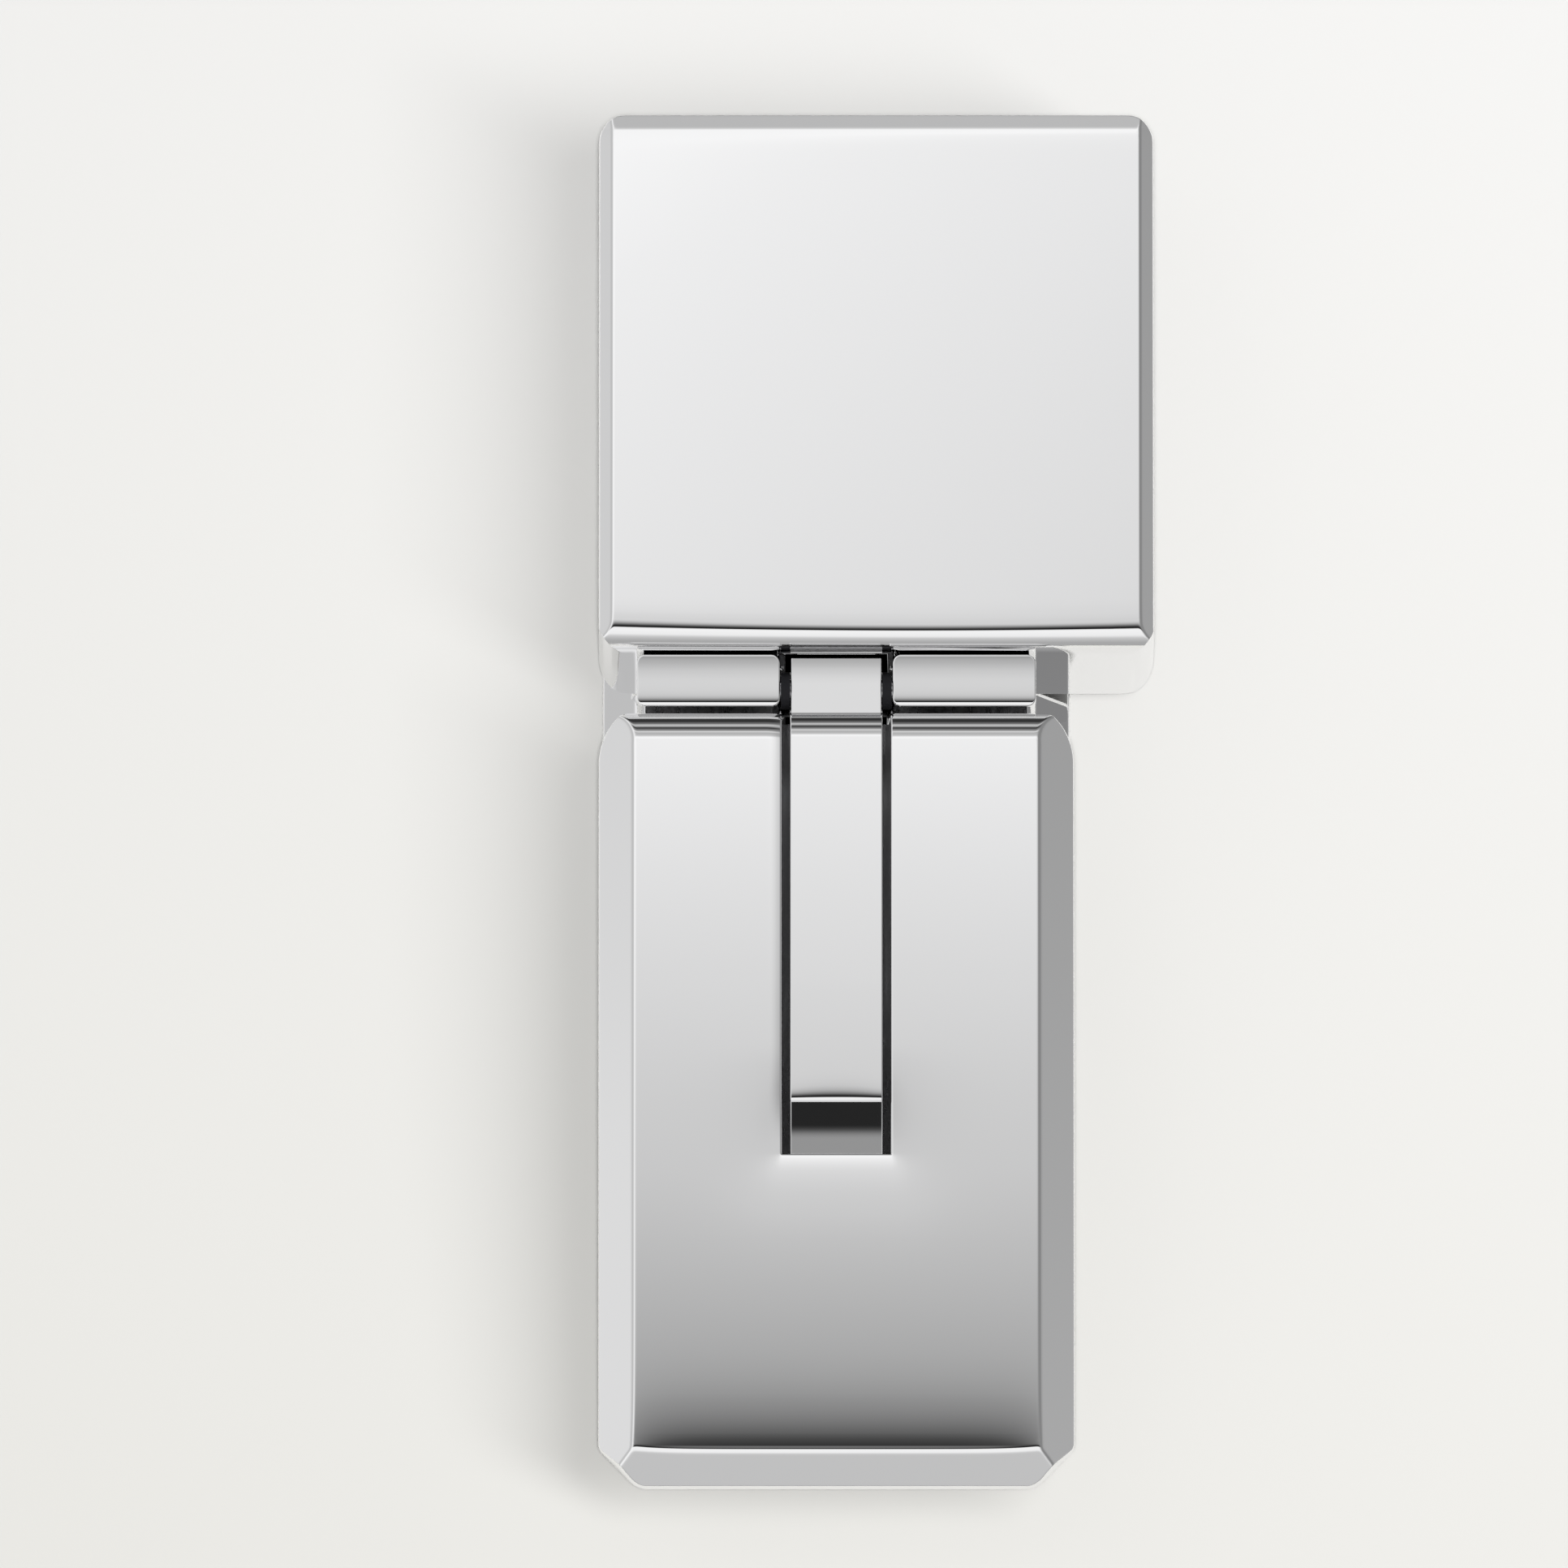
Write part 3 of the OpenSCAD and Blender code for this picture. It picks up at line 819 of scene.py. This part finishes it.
def make_block(name):
    """Outer hinge knuckle: an upright block with softly rounded edges and a plugged pin bore."""
    (x0, y0, z0), (x1, y1, z1) = node_box(name)
    box = (x0, x1, y0, y1)
    half, middle = (x1 - x0) / 2, (x0 + x1) / 2

    def top(x, y):
        d = -y
        z = z1 - 0.03 - hollow(d, 0.07, 0.0375) - fade(y - y0, 0.14, 0.17)
        return z - edge_round(inset(x, y, box, BLOCK_CORNER), 0.06)

    def bottom(x, y):
        return z0 + edge_round(inset(x, y, box, BLOCK_CORNER), 0.1)

    outer = spans((0, 0.08), (0.93, 0.01), (0.995, 0.0025), (1, 1))

    def columns(y):
        cut = corner_cut(min(y - y0, y1 - y), BLOCK_CORNER, BLOCK_CORNER)
        return [middle + x for x in mirrored([(half - cut) * u for u in outer])]

    rows = spans(
        (y0, 0.006), (y0 + 0.1, 0.02), (y0 + 0.7, 0.12), (y1 - 0.5, 0.04), (y1 - 0.03, 0.006), (y1, 1)
    )
    block = slab(f"{name}_body", rows, columns, top, bottom)
    outward = 1 if x1 > 0 else -1
    face, inner = (x1, x0) if outward > 0 else (x0, x1)
    mouth = sorted((face - outward * 0.5, face + outward))
    bore = sorted((inner - outward, face - outward * 0.3))
    carve(block, rod("mouth", *mouth, PIN_Y, PIN_Z, MOUTH_R), rod("bore", *bore, PIN_Y, PIN_Z, BORE_R))
    finish_piece(block, "polished_steel", "clip_frame", name)


make_arm()
make_strap()
make_knuckle()
make_back_plate()
make_head()
for block in ("hinge_block_left", "hinge_block_right"):
    make_block(block)

# ---- carried-over CAD nodes ----

SLOTS = {part["node"]: part["material_slot"] for part in frame["record"]["subparts"]}
for name, node in frame["nodes"].items():
    if not node.hide_render:
        node.data.materials.clear()
        node.data.materials.append(MATERIALS[SLOTS[name]])

# ---- floor ----

FLOOR_HALF = 12.0
floor_mesh = bpy.data.meshes.new("studio_floor")
corners = [(-1, -1), (1, -1), (1, 1), (-1, 1)]
floor_mesh.from_pydata([(x * FLOOR_HALF, y * FLOOR_HALF, 0) for x, y in corners], [], [(0, 1, 2, 3)])
floor = bpy.data.objects.new("studio_floor", floor_mesh)
floor.data.materials.append(studio_floor("studio_floor"))
bpy.context.scene.collection.objects.link(floor)

# ---- light ----

# Brightness of the studio by direction, in degrees from straight up, positive towards +Y. The black
# bands are the gaps between the softboxes.
TILT_BRIGHTNESS = [
    (-90, 0.40), (-75, 0.42), (-66, 0.50), (-56, 0.61), (-45, 0.90), (-23, 0.96), (-19, 0.80), (-17, 0.012),
    (-12, 0.02), (-8.8, 0.07), (-4.8, 0.20), (-1.9, 0.295), (0, 0.375), (1.5, 0.43), (4.3, 0.515),
    (7.6, 0.615), (10.2, 0.655), (14.1, 0.735), (15.5, 0.80), (17.5, 0.905), (18.2, 0.99), (20.5, 0.97),
    (23.4, 0.68), (26, 0.53), (33, 0.46), (35.3, 0.76), (40.5, 0.27), (48.5, 0.014), (57.3, 0.61),
    (64, 0.17), (75, 0.02), (90, 0.08),
]
# The same for reflections from the sides, by the direction's x from -1 at the left to 1 at the right.
SIDE_BRIGHTNESS = [
    (-1, 0.77), (-0.93, 0.76), (-0.86, 0.55), (-0.74, 0.55), (-0.5, 0.99), (-0.2, 0.99), (0.2, 0.24),
    (0.5, 0.24), (0.84, 0.25), (0.92, 0.38), (0.96, 0.45), (1, 0.46),
]


def studio_world():
    """Soft studio all round: a strip of brightness by tilt, blending into a bright left and a grey right."""
    world = bpy.data.worlds.new("studio")
    world.use_nodes = True
    nodes, links = world.node_tree.nodes, world.node_tree.links
    background = nodes["Background"]

    def math_node(operation, a, b=None):
        node = nodes.new("ShaderNodeMath")
        node.operation = operation
        for socket, value in zip(node.inputs, (a, b)):
            if isinstance(value, (int, float)):
                socket.default_value = value
            elif value is not None:
                links.new(value, socket)
        return node.outputs[0]

    def map_range(value, low, high, smooth=False):
        node = nodes.new("ShaderNodeMapRange")
        node.interpolation_type = "SMOOTHSTEP" if smooth else "LINEAR"
        node.inputs["From Min"].default_value = low
        node.inputs["From Max"].default_value = high
        links.new(value, node.inputs["Value"])
        return node.outputs["Result"]

    def grey_ramp(value, stops, low, high):
        ramp = nodes.new("ShaderNodeValToRGB")
        elements = ramp.color_ramp.elements
        elements.remove(elements[-1])
        for number, (at, brightness) in enumerate(stops):
            position = (at - low) / (high - low)
            element = elements[0] if number == 0 else elements.new(position)
            element.position = position
            element.color = (brightness, brightness, brightness, 1)
        links.new(value, ramp.inputs["Fac"])
        return ramp.outputs["Color"]

    direction = nodes.new("ShaderNodeTexCoord").outputs["Generated"]
    split = nodes.new("ShaderNodeSeparateXYZ")
    links.new(direction, split.inputs[0])
    x, y, z = split.outputs
    tilt = math_node("ARCTAN2", y, z)
    strips = grey_ramp(map_range(tilt, -math.pi / 2, math.pi / 2), TILT_BRIGHTNESS, -90, 90)
    sides = grey_ramp(map_range(x, -1, 1), SIDE_BRIGHTNESS, -1, 1)
    mix = nodes.new("ShaderNodeMix")
    mix.data_type = "RGBA"
    links.new(map_range(math_node("ABSOLUTE", x), 0.12, 0.65, smooth=True), mix.inputs["Factor"])
    links.new(strips, mix.inputs["A"])
    links.new(sides, mix.inputs["B"])
    links.new(mix.outputs["Result"], background.inputs["Color"])
    background.inputs["Strength"].default_value = 1
    bpy.context.scene.world = world


def lamp(name, kind, energy, direction, distance):
    """A lamp aimed at the clip's middle, unseen in the polish."""
    data = bpy.data.lights.new(name, kind)
    data.energy = energy
    light = bpy.data.objects.new(name, data)
    light.location = direction * distance
    light.rotation_mode = "QUATERNION"
    light.rotation_quaternion = (-direction).to_track_quat("-Z", "Y")
    light.visible_glossy = False
    bpy.context.scene.collection.objects.link(light)
    return data


def add_lamps():
    """A soft strip on the right throws the shadow to the left; the fill shines from the camera."""
    toward_camera = math.radians(63)
    direction = TO_RIGHT * math.cos(toward_camera) + TO_CAMERA * math.sin(toward_camera)
    key = lamp("key", "AREA", 6.3, direction, 0.6)
    key.shape = "RECTANGLE"
    key.size = 0.15
    key.size_y = 0.5
    lamp("fill", "SUN", 8.2, TO_CAMERA, 1).angle = math.radians(3)


ELEVATION = math.radians(73.5)
TO_CAMERA = Vector((0, -math.cos(ELEVATION), math.sin(ELEVATION)))
TO_RIGHT = Vector((1, 0, 0))
studio_world()
add_lamps()
bpy.context.scene.view_settings.view_transform = "Standard"

# ---- camera ----

LENS = 1600
SENSOR = 36
VIEW_WIDTH = 72.22 * MM
VIEW_MIDDLE = place(-2.41, -6.52, 8.7)
camera_data = bpy.data.cameras.new("camera")
camera_data.lens = LENS
camera_data.sensor_width = SENSOR
camera_data.clip_start = 0.01
camera_data.clip_end = 100
camera = bpy.data.objects.new("camera", camera_data)
camera.location = VIEW_MIDDLE + TO_CAMERA * (VIEW_WIDTH * LENS / SENSOR)
camera.rotation_mode = "QUATERNION"
camera.rotation_quaternion = (-TO_CAMERA).to_track_quat("-Z", "Y")
bpy.context.scene.collection.objects.link(camera)
bpy.context.scene.camera = camera
